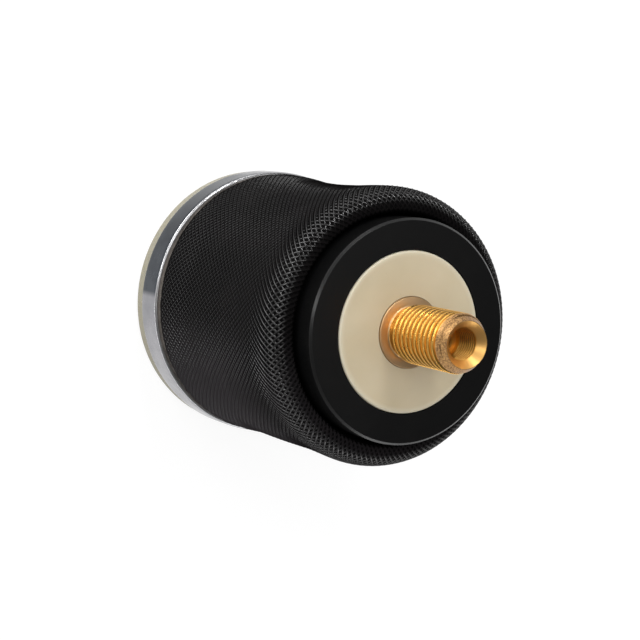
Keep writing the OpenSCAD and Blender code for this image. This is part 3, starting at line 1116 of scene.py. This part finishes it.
@dataclass
class Sleeve:
    """The rubber sleeve: outer wall and lobe, woven cords, inner wall and squeezed-out bead."""

    waist_r: float = 38.0 * MM
    wall: float = 2.2 * MM
    crimp_r: float = 37.8 * MM
    ring_swell: float = 0.9 * MM
    swell_run: float = 3.0 * MM
    swell_steps: int = 8
    waist_run: float = 17.0 * MM
    waist_steps: int = 14
    lobe_swell: float = 0.55 * MM
    lobe_w: float = 7.65 * MM
    lobe_h: float = 7.1 * MM
    lobe_lip: float = 1.9 * MM
    shoulder_steps: int = 22
    lip_steps: int = 12
    hollow_steps: int = 20
    skin: float = 0.26 * MM
    outer_step: float = 2.0 * MM
    inner_step: float = 3.0 * MM
    columns: int = 240
    slack_wave: float = 0.35 * MM
    slack_sag: float = 0.45 * MM
    slack_turns: float = 1.3
    slack_run: float = 34.0 * MM
    neck_ring_wall: float = 1.5 * MM
    neck_gap: float = 0.1 * MM
    neck_rise: float = 1.0 * MM
    neck_run: float = 6.0 * MM
    neck_steps: int = 10
    neck_tail: float = 0.6 * MM
    neck_columns: int = 144
    cord_count: int = 141
    cord_w: float = 0.92 * MM
    cord_h: float = 0.46 * MM
    cord_sink: float = 0.05 * MM
    cord_angle_deg: float = 51.5
    cord_step: float = 0.8 * MM
    cord_lip_steps: int = 6
    wall_swap: float = 0.02 * MM
    lobe_swap: float = 0.06 * MM
    swap_start: float = 0.5
    swap_stop: float = 0.8
    bead_run: float = 2.3 * MM
    bead_proud: float = 0.45 * MM
    bead_step: float = 0.3 * MM
    bead_ragged: float = 0.25 * MM
    bead_turns: float = 30.0
    bead_columns: int = 420
    bead_sharp_deg: float = 80.0
    roll_run: float = 6.0 * MM

    def __post_init__(self) -> None:
        """Takes the heights from the CAD sleeve and rings."""
        low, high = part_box("sleeve")
        neck_low, neck_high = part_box("inner_crimp_ring")
        self.end_z = low.z
        self.crest_z = high.z
        self.ring_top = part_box("outer_crimp_ring")[1].z
        self.neck_z = neck_high.z
        self.neck_end_z = neck_low.z - self.neck_tail
        self.neck_r = neck_high.x - self.neck_ring_wall - self.neck_gap - self.wall
        self.lobe_z = self.crest_z - self.lobe_h
        self.lobe_r = self.waist_r + self.lobe_swell
        self.roll_r = self.lobe_r - self.lobe_w
        self.crest_r = self.roll_r + self.lobe_lip
        self.lip_h = self.lobe_h / 2

    def side(self, inset: float) -> list[Point]:
        """Gives one face of the outer wall, from the ring's edge to the lobe.

        Args:
            inset: How far the face lies inside the sleeve's outside.

        Returns:
            Its profile.
        """
        swell_z = self.ring_top + self.swell_run
        waist_z = swell_z + self.waist_run
        rise_z = self.lobe_z - self.waist_run
        swell_r = self.waist_r + self.ring_swell
        points = [(self.crimp_r, self.ring_top)]
        points += ease(self.crimp_r, swell_r, self.ring_top, swell_z, self.swell_steps)
        points += ease(swell_r, self.waist_r, swell_z, waist_z, self.waist_steps)
        points += [(self.waist_r, rise_z)]
        points += ease(self.waist_r, self.lobe_r, rise_z, self.lobe_z, self.waist_steps)
        return [(r - inset, z) for r, z in points]

    def fold(self, inset: float) -> list[Point]:
        """Gives the lobe's outside, from its shoulder over the crest to its inner lip.

        Args:
            inset: How far the face lies inside the sleeve's outside.

        Returns:
            Its profile, without the shoulder's first point.
        """
        shoulder_half = (self.lobe_r - self.crest_r - inset, self.lobe_h - inset)
        lip_half = (self.lobe_lip - inset, self.lip_h - inset)
        shoulder = arc((self.crest_r, self.lobe_z), shoulder_half, 0, 90, self.shoulder_steps)
        return shoulder + arc((self.crest_r, self.crest_z - self.lip_h), lip_half, 90, 180, self.lip_steps)

    def hollow(self) -> list[Point]:
        """Gives the lobe's inside, from the inner wall's foot round to the outer wall.

        Returns:
            Its profile.
        """
        middle = (self.lobe_r + self.roll_r) / 2
        half = self.lobe_w / 2 - self.wall
        low = self.lobe_z + half
        high = self.crest_z - self.wall - low
        return [(middle - half, self.lobe_z)] + arc((middle, low), (half, high), 180, 0, self.hollow_steps)

    def soften(self, obj: bpy.types.Object) -> None:
        """Presses the soft wall a little out of round, as a slack sleeve lies.

        Args:
            obj: The wall or its cords.
        """
        for vertex in obj.data.vertices:
            x, y, z = vertex.co
            share = limited((z - self.ring_top) / (self.lobe_z - self.ring_top))
            slack = math.sin(math.pi * share) ** 2
            turn = math.atan2(y, x)
            wave = noise.noise(Vector(spun(turn, self.slack_turns, z / self.slack_run)))
            push = slack * (self.slack_wave * wave - self.slack_sag * math.sin(turn))
            r = math.hypot(x, y)
            grow = (r + push) / r
            vertex.co = (x * grow, y * grow, z)

    def outer_wall(self, finishes: Finishes) -> bpy.types.Object:
        """Makes the outer wall and lobe as one closed shell.

        Args:
            finishes: The materials.

        Returns:
            The piece.
        """
        crimped = [(self.crimp_r - self.skin, self.end_z)]
        outside = refine(self.side(self.skin), self.outer_step)
        bottom = [(self.roll_r + self.skin, self.lobe_z)]
        inside = list(reversed(refine(self.side(self.wall), self.inner_step)))
        tail = [(self.crimp_r - self.wall, self.end_z)]
        profile = crimped + outside + self.fold(self.skin) + bottom + self.hollow() + inside + tail
        obj = lathe("sleeve_wall", profile, self.columns)
        self.soften(obj)
        dress(obj, finishes.wall)
        return obj

    def inner_wall(self, finishes: Finishes) -> bpy.types.Object:
        """Makes the wall that lies against the skirt, down to its crimp on the neck.

        Args:
            finishes: The materials.

        Returns:
            The piece.
        """
        low_z = self.neck_z + self.neck_rise
        top_z = low_z + self.neck_run
        outside = [(self.roll_r, self.lobe_z), (self.roll_r, top_z)]
        outside += ease(self.roll_r, self.neck_r, top_z, low_z, self.neck_steps)
        outside += [(self.neck_r, self.neck_end_z)]
        inside = [(r + self.wall, z) for r, z in reversed(outside)]
        profile = refine(outside, self.outer_step) + refine(inside, self.outer_step)
        obj = lathe("sleeve_inner_wall", profile, self.neck_columns)
        dress(obj, finishes.wall)
        return obj

    def lift(self, hand: CordHand, z: float) -> float:
        """Gives how far a cord's middle lies above the rubber, which the two hands take in turn.

        The left-hand cords lie a little higher on the wall and the lobe's crest, and the right-hand
        ones on the lobe's shoulder.

        Args:
            hand: Which way the cord turns as it climbs.
            z: Height along the axis.

        Returns:
            The distance, along the wall's normal.
        """
        rise = (z - self.lobe_z) / self.lobe_h
        on_lobe = limited(rise + 1.0)
        on_crest = limited((rise - self.swap_start) / (self.swap_stop - self.swap_start))
        swap = on_lobe * (1.0 - 2.0 * on_crest) * self.lobe_swap - (1.0 - on_lobe) * self.wall_swap
        return hand.value * swap - self.cord_sink

    def cord(self, hand: CordHand) -> bpy.types.Mesh:
        """Lays one cord along the outside.

        Args:
            hand: Which way the cord turns as it climbs.

        Returns:
            A closed tube with four sides, of which the lower ones lie in the rubber.
        """
        lean = hand.value / (self.waist_r * math.tan(math.radians(self.cord_angle_deg)))
        path = evenly(self.side(self.skin) + self.fold(self.skin)[:-self.cord_lip_steps], self.cord_step)
        verts, faces = [], [(0, 1, 2, 3)]
        sides = ((0, 1), (1, 2), (2, 3), (3, 0))
        for i, (r, z) in enumerate(path):
            (r0, z0), (r1, z1) = path[max(i - 1, 0)], path[min(i + 1, len(path) - 1)]
            length = math.hypot(r1 - r0, z1 - z0)
            turn = lean * i * self.cord_step
            outward = Vector(spun(turn, 1.0, 0.0))
            round_axis = Vector(spun(turn + math.pi / 2, 1.0, 0.0))
            climb = outward * ((r1 - r0) / length) + Vector((0.0, 0.0, (z1 - z0) / length))
            normal = round_axis.cross(climb)
            across = normal.cross(climb + round_axis * (lean * r)).normalized()
            middle = outward * r + Vector((0.0, 0.0, z)) + normal * self.lift(hand, z)
            up, aside = normal * (self.cord_h / 2.0), across * (self.cord_w / 2.0)
            here = len(verts)
            below = here - 4
            verts += [middle + up, middle + aside, middle - up, middle - aside]
            if i:
                faces += [(here + a, here + b, below + b, below + a) for a, b in sides]
        last = len(verts)
        faces += [(last - 1, last - 2, last - 3, last - 4)]
        mesh = bpy.data.meshes.new("cord")
        mesh.from_pydata(verts, [], faces)
        return mesh

    def cords(self, finishes: Finishes) -> list[bpy.types.Object]:
        """Weaves the cords that show through the rubber.

        Args:
            finishes: The materials.

        Returns:
            One piece for each hand.
        """
        tree = cord_weave_tree()
        values = {"Count": self.cord_count, "Material": finishes.cord}
        pieces = [tree.run(hand.name.lower() + "_cords", self.cord(hand), values) for hand in CordHand]
        for obj in pieces:
            self.soften(obj)
        return pieces

    def bead(self, finishes: Finishes) -> bpy.types.Object:
        """Makes the uneven bead of rubber that the crimp squeezes out at the ring's edge.

        Args:
            finishes: The materials.

        Returns:
            The piece.
        """
        reach = self.ring_top + self.bead_run
        lie = refine([(r, z) for r, z in self.side(0.0) if z <= reach], self.bead_step)
        last = len(lie) - 1
        top = [(r + self.bead_proud * (1.0 - i / last), z) for i, (r, z) in enumerate(lie)]
        section = top + [(r - 2.0 * self.skin, z) for r, z in reversed(lie)]

        def ragged(turn: float, r: float, z: float) -> float:
            """Roughens the bead round the ring."""
            return r + self.bead_ragged * noise.noise(Vector(spun(turn, self.bead_turns, z / MM)))

        obj = lathe("rubber_bead", section, self.bead_columns, shift=ragged, sharp_deg=self.bead_sharp_deg)
        dress(obj, finishes.bead)
        return obj

    def roll(self, obj: bpy.types.Object, body: Body, start_z: float, stop_z: float) -> None:
        """Bakes a piece's place into its mesh, in place of the CAD sleeve, which it hides.

        Args:
            obj: The piece.
            body: The body that the log names.
            start_z: Not used.
            stop_z: Not used.
        """
        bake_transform(obj)
        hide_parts("sleeve")
        log.info("%s: %d faces towards %s", obj.name, len(obj.data.polygons), body.value)

    def build(self, finishes: Finishes) -> None:
        """Makes the sleeve's pieces, bakes the walls and cords in place of the CAD sleeve, and seats the
        bead on the plate.

        Args:
            finishes: The materials.
        """
        for obj in (self.outer_wall(finishes), *self.cords(finishes)):
            self.roll(obj, Body.LOBE, self.ring_top, self.lobe_z - self.roll_run)
        # The inner wall's upper end would move half as far as the piston, as the lobe does; roll takes this
        # height but doesn't use it
        mirrored_z = self.lobe_z + (self.lobe_z - self.neck_z)
        self.roll(self.inner_wall(finishes), Body.PISTON, mirrored_z, self.neck_z)
        seat(self.bead(finishes), Body.PLATE, Slot.RUBBER)


@dataclass
class PlateEnd:
    """The closure plate, its crimp ring and its threaded inserts."""

    ring_wall: float = 1.5 * MM
    ring_edge: float = 0.8 * MM
    low_edge_steps: int = 6
    high_edge_steps: int = 8
    band_step: float = 1.0 * MM
    wobble: float = 0.012 * MM
    wobble_turns: float = 4.0
    wobble_run: float = 6.0 * MM
    columns: int = 288
    sharp_deg: float = 50.0

    def ring(self, finishes: Finishes) -> bpy.types.Object:
        """Makes the crimp ring with the slight waves that crimping leaves.

        Args:
            finishes: The materials.

        Returns:
            The piece.
        """
        low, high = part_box("outer_crimp_ring")
        r, edge = high.x, self.ring_edge
        inner = r - self.ring_wall
        low_z, high_z = low.z + edge, high.z - edge
        band = [(inner, low.z), (r - edge, low.z)]
        band += arc((r - edge, low_z), (edge, edge), -90, 0, self.low_edge_steps)
        band += refine([(r, low_z), (r, high_z)], self.band_step)[1:]
        band += arc((r - edge, high_z), (edge, edge), 0, 90, self.high_edge_steps)
        band += [(inner, high.z)]

        def waved(turn: float, radius: float, z: float) -> float:
            """Waves the band inwards, by up to about two hundredths of a millimetre."""
            at = Vector(spun(turn, self.wobble_turns, z / self.wobble_run))
            return radius + self.wobble * (noise.noise(at) - 1.0)

        obj = lathe("crimp_ring", band, self.columns, shift=waved, sharp_deg=self.sharp_deg)
        dress(obj, finishes.zinc)
        return obj

    def build(self, finishes: Finishes) -> None:
        """Dresses the plate and inserts, and makes the ring.

        Args:
            finishes: The materials.
        """
        dress_nodes(finishes.plate, "closure_plate")
        dress_nodes(finishes.brass, "left_insert", "right_insert")
        seat(self.ring(finishes), Body.PLATE, Slot.STEEL, "outer_crimp_ring")


@dataclass
class PistonEnd:
    """The skirt, the core and what is inside them."""

    def build(self, finishes: Finishes) -> None:
        """Dresses the CAD pieces.

        Args:
            finishes: The materials.
        """
        dress_nodes(finishes.black, "piston_skirt")
        dress_nodes(finishes.nylon, "piston_core")
        dress_nodes(finishes.buffer, "bump_stop", "stud_o_ring")
        dress_nodes(finishes.zinc, "inner_crimp_ring", "stud_washer", "stud_nut")


@dataclass
class AirStud:
    """The hollow brass stud with its M16 thread outside and its G1/8 thread inside."""

    thread_r: float = 8.0 * MM
    pitch: float = 2.0 * MM
    thread_depth: float = 1.0 * MM
    relief_r: float = 7.0 * MM
    relief_h: float = 2.5 * MM
    relief_fillet: float = 0.6 * MM
    fillet_steps: int = 5
    flange_h: float = 3.0 * MM
    flange_proud: float = 0.5 * MM
    flange_edge: float = 0.25 * MM
    flange_steps: int = 4
    tail_edge: float = 0.9 * MM
    tip_run: float = 3.0 * MM
    tip_rim: float = 0.15 * MM
    port_r: float = 4.3 * MM
    port_pitch: float = 0.907 * MM
    port_thread_depth: float = 0.5 * MM
    port_runout: float = 1.5 * MM
    port_depth: float = 11.1 * MM
    port_sink: float = 1.85 * MM
    port_rows: int = 10
    air_r: float = 2.9 * MM
    air_edge: float = 0.4 * MM
    rows: int = 22
    columns: int = 180
    sharp_deg: float = 44.0

    def __post_init__(self) -> None:
        """Takes the heights from the CAD stud and core, and sets both threads."""
        low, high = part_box("air_stud")
        self.tail_z, self.tip_z = low.z, high.z
        self.flange_r = high.x
        self.flange_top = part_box("piston_core")[1].z + self.flange_proud
        self.relief_top = self.flange_top + self.relief_h
        self.thread_z = self.relief_top + self.thread_r - self.relief_r
        self.mouth_r = self.port_r + self.port_sink
        self.rim_r = self.mouth_r + self.tip_rim
        self.sink_z = self.tip_z - self.port_sink
        self.floor_z = self.tip_z - self.port_depth
        self.stud_thread = Thread(self.pitch, self.thread_depth, self.relief_top, self.tip_z + self.pitch,
                                  ThreadSide.OUTSIDE)
        self.port_thread = Thread(self.port_pitch, self.port_thread_depth, self.floor_z + self.port_runout,
                                  self.sink_z, ThreadSide.INSIDE)

    def profile(self) -> list[Point]:
        """Gives the section from the tip down the passage and up the outside to the thread.

        Returns:
            Its points.
        """
        base = self.flange_top - self.flange_h
        edge, tail, fillet = self.flange_edge, self.tail_edge, self.relief_fillet
        fillet_r = self.relief_r + fillet
        mouth = [(self.rim_r, self.tip_z), (self.mouth_r, self.tip_z), (self.port_r, self.sink_z)]
        bore = refine([mouth[-1], (self.port_r, self.floor_z)], self.port_pitch / self.port_rows)[1:]
        passage = [(self.air_r + self.air_edge, self.floor_z), (self.air_r, self.floor_z - self.air_edge)]
        outside = [(self.air_r, self.tail_z), (self.thread_r - tail, self.tail_z)]
        outside += [(self.thread_r, self.tail_z + tail), (self.thread_r, base)]
        outside += [(self.flange_r, base), (self.flange_r, self.flange_top - edge)]
        edge_middle = (self.flange_r - edge, self.flange_top - edge)
        outside += arc(edge_middle, (edge, edge), 0, 90, self.flange_steps)
        outside += [(fillet_r, self.flange_top)]
        outside += arc((fillet_r, self.flange_top + fillet), (fillet, fillet), 270, 180, self.fillet_steps)
        outside += [(self.relief_r, self.relief_top), (self.thread_r, self.thread_z)]
        return mouth + bore + passage + outside

    def cut(self, turn: float, r: float, z: float) -> float:
        """Cuts the stud's outside and its port.

        Args:
            turn: Angle round the axis.
            r: Radius of the plain stud.
            z: Height along the axis.

        Returns:
            The radius with the threads cut.
        """
        if abs(r - self.port_r) < SLIGHT:
            return self.port_thread.radius(turn, r, z)
        if self.relief_top < z and self.rim_r - SLIGHT < r < self.thread_r + SLIGHT:
            return min(r, self.stud_thread.radius(turn, self.thread_r, z))
        return r

    def screw(self, bm: bmesh.types.BMesh) -> None:
        """Adds the outer thread and the nose, in rows that climb with the thread.

        Args:
            bm: The mesh that the faces go into.
        """
        count = math.ceil(self.rows * ((self.tip_z - self.thread_z) / self.pitch + 1.0))
        rows = []
        for i in range(count + 1):
            row = []
            for c in range(self.columns + 1):
                turn = TAU * c / self.columns
                z = self.thread_z + self.pitch * (i / self.rows + c / self.columns - 1.0)
                z = min(self.tip_z, max(self.thread_z, z))
                share = max(0.0, (z - self.tip_z) / self.tip_run + 1.0)
                plain_r = self.thread_r + (self.rim_r - self.thread_r) * share
                row.append(bm.verts.new(spun(turn, self.cut(turn, plain_r, z), z)))
            rows.append(row)
        for i in range(count):
            for c in range(self.columns):
                corners = (rows[i][c], rows[i][c + 1], rows[i + 1][c + 1], rows[i + 1][c])
                left, right = c / self.columns, (c + 1) / self.columns
                across = (left, right, right, left)
                quad(bm, corners, [(u, corner.co.z) for u, corner in zip(across, corners)])

    def build(self, finishes: Finishes) -> None:
        """Turns the stud with both threads and seats it.

        Args:
            finishes: The materials.
        """
        obj = lathe("air_stud_threaded", self.profile(), self.columns, shift=self.cut,
                    sharp_deg=self.sharp_deg, extra=self.screw)
        dress(obj, finishes.brass)
        seat(obj, Body.PISTON, Slot.BRASS, "air_stud")


# Studio

def grey(level: float) -> tuple[float, float, float, float]:
    """Gives a grey as a colour with alpha."""
    return level, level, level, 1.0


@dataclass(frozen=True)
class PhotoCamera:
    """The photograph's viewpoint, found from the round edges of the foot, disc and ring."""

    lens_mm: float = 100.0
    sensor_mm: float = 36.0
    image_px: float = 640.0
    tilt_deg: float = 31.296
    roll_deg: float = 12.824
    face_px: Point = (409.75, 332.51)
    depth: float = 0.47379
    nearest: float = 0.01
    farthest: float = 20.0

    def build(self) -> None:
        """Places the camera, with the picture's upward side towards +Y."""
        tilt, roll = math.radians(self.tilt_deg), math.radians(self.roll_deg)
        focal = self.lens_mm / self.sensor_mm * self.image_px
        across, down = ((px - self.image_px / 2) / focal for px in self.face_px)
        face = Vector((across, down, 1.0)) * self.depth
        sideways = math.sin(tilt)
        axis = Vector((sideways * math.cos(roll), sideways * math.sin(roll), -math.cos(tilt)))
        up = Vector((0.0, -1.0, 0.0))
        row_y = (up - up.dot(axis) * axis).normalized()
        row_x = row_y.cross(axis)
        to_row = Matrix((row_x, row_y, axis))
        place = Vector((0.0, 0.0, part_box("piston_core")[1].z)) - to_row @ face
        data = bpy.data.cameras.new("photo_camera")
        data.lens = self.lens_mm
        data.sensor_width = self.sensor_mm
        data.clip_start, data.clip_end = self.nearest, self.farthest
        camera = link(bpy.data.objects.new("photo_camera", data))
        turn = to_row @ Matrix.Diagonal((1.0, -1.0, -1.0))
        camera.matrix_world = Matrix.Translation(place) @ turn.to_4x4()
        bpy.context.scene.camera = camera


@dataclass(frozen=True)
class Softbox:
    """One flat area lamp that faces the object."""

    name: str
    place: tuple[float, float, float]
    wide: float
    tall: float
    watts: float

    def build(self, target: Vector) -> None:
        """Hangs the lamp and turns it to a point.

        Args:
            target: The point.
        """
        data = bpy.data.lights.new(self.name, "AREA")
        data.shape = "RECTANGLE"
        data.size = self.wide
        data.size_y = self.tall
        data.energy = self.watts
        lamp = link(bpy.data.objects.new(self.name, data))
        lamp.location = self.place
        lamp.rotation_euler = (target - Vector(self.place)).to_track_quat("-Z", "Y").to_euler()


@dataclass(frozen=True)
class Studio:
    """White floor and world, soft lamps and the camera."""

    floor_half: float = 6.0
    floor_drop: float = 0.05 * MM
    floor_lit: float = 0.8
    floor_glow: float = 0.86
    floor_shade: float = 0.2
    ambient: float = 0.4
    zenith: float = 0.10
    dim_span: Span = (0.03, 0.35)
    lamps: tuple[Softbox, ...] = (
        Softbox("key_softbox", (-0.06, 0.88, 0.72), 0.28, 0.1, 3.0),
        Softbox("upper_left_softbox", (-0.75, 0.78, 0.14), 0.5, 0.25, 3.2),
        Softbox("crown_softbox", (-0.38, 0.43, 0.95), 0.3, 0.3, 1.2),
        Softbox("top_strip", (-0.10, 1.00, 0.06), 0.6, 0.08, 0.8),
        Softbox("edge_strip", (-0.50, 0.80, 0.42), 1.2, 0.10, 0.7),
        Softbox("foot_softbox", (-0.85, 0.26, 0.58), 0.2, 0.2, 1.5),
        Softbox("overhead_softbox", (0.10, 0.15, 1.1), 0.8, 0.8, 3.2),
        Softbox("low_left_strip", (-0.93, -0.35, 0.06), 0.6, 0.08, 0.6),
        Softbox("low_strip", (-0.45, -0.90, 0.06), 0.6, 0.08, 0.3),
        Softbox("low_softbox", (0.30, -0.95, 0.18), 0.4, 0.2, 1.0),
    )

    def seen_directly(self, pen: Pen) -> Socket:
        """Gives 1 for rays from the camera, from gloss and through glass.

        Args:
            pen: The material's or the world's pen.

        Returns:
            The mask.
        """
        path = pen.add("ShaderNodeLightPath").outputs
        gloss = pen.math("MAXIMUM", path["Is Glossy Ray"], path["Is Transmission Ray"])
        return pen.math("MAXIMUM", path["Is Camera Ray"], gloss)

    def floor_paint(self) -> bpy.types.Material:
        """Makes the floor's white, which glows where it is seen and keeps the object's shadow.

        Returns:
            The material.
        """
        material = bpy.data.materials.new("studio_white")
        material.use_nodes = True
        pen = Pen(material.node_tree)
        lit = pen.add("ShaderNodeBsdfDiffuse", Color=grey(self.floor_lit))
        shade = pen.add("ShaderNodeBsdfDiffuse", Color=grey(self.floor_shade))
        glow = pen.add("ShaderNodeEmission", Color=grey(1.0), Strength=self.floor_glow)
        seen = pen.add("ShaderNodeAddShader")
        pen.feed(seen.inputs[0], shade.outputs[0])
        pen.feed(seen.inputs[1], glow.outputs[0])
        mixed = pen.add("ShaderNodeMixShader", Fac=self.seen_directly(pen))
        pen.feed(mixed.inputs[1], lit.outputs[0])
        pen.feed(mixed.inputs[2], seen.outputs[0])
        pen.add("ShaderNodeOutputMaterial", Surface=mixed.outputs[0])
        return material

    def floor(self) -> None:
        """Lays the white floor."""
        half, z = self.floor_half, -self.floor_drop
        corners = [(-half, -half, z), (half, -half, z), (half, half, z), (-half, half, z)]
        mesh = bpy.data.meshes.new("studio_floor")
        mesh.from_pydata(corners, [], [(0, 1, 2, 3)])
        obj = link(bpy.data.objects.new("studio_floor", mesh))
        dress(obj, self.floor_paint())

    def world(self) -> None:
        """Sets a white world, which gloss sees dim overhead and which lights as a weak even lamp."""
        world = bpy.data.worlds.new("studio_world")
        bpy.context.scene.world = world
        world.use_nodes = True
        pen = Pen(world.node_tree)
        height = pen.parts(pen.add("ShaderNodeTexCoord").outputs["Generated"])[2]
        dome = pen.ramp(height, *self.dim_span, 1.0, self.zenith)
        camera = pen.add("ShaderNodeLightPath").outputs["Is Camera Ray"]
        direct = self.seen_directly(pen)
        seen = pen.math("MULTIPLY", direct, pen.math("MAXIMUM", camera, dome))
        unseen = pen.ramp(direct, 0.0, 1.0, self.ambient, 0.0)
        sky = pen.add("ShaderNodeBackground", Color=grey(1.0), Strength=pen.math("MAXIMUM", seen, unseen))
        pen.add("ShaderNodeOutputWorld", Surface=sky.outputs[0])

    def build(self) -> None:
        """Builds the studio round the object."""
        bpy.context.scene.view_settings.view_transform = "Standard"
        PhotoCamera().build()
        self.floor()
        self.world()
        target = (cad_box[0] + cad_box[1]) / 2
        for lamp in self.lamps:
            lamp.build(target)


def main() -> None:
    """Builds the studio, the finishes and each sub-assembly in turn."""
    logging.basicConfig(level=logging.INFO)
    Studio().build()
    finishes = Finishes.build()
    PlateEnd().build(finishes)
    Sleeve().build(finishes)
    PistonEnd().build(finishes)
    AirStud().build(finishes)
    bpy.context.view_layer.update()


if __name__ == "__main__":
    main()
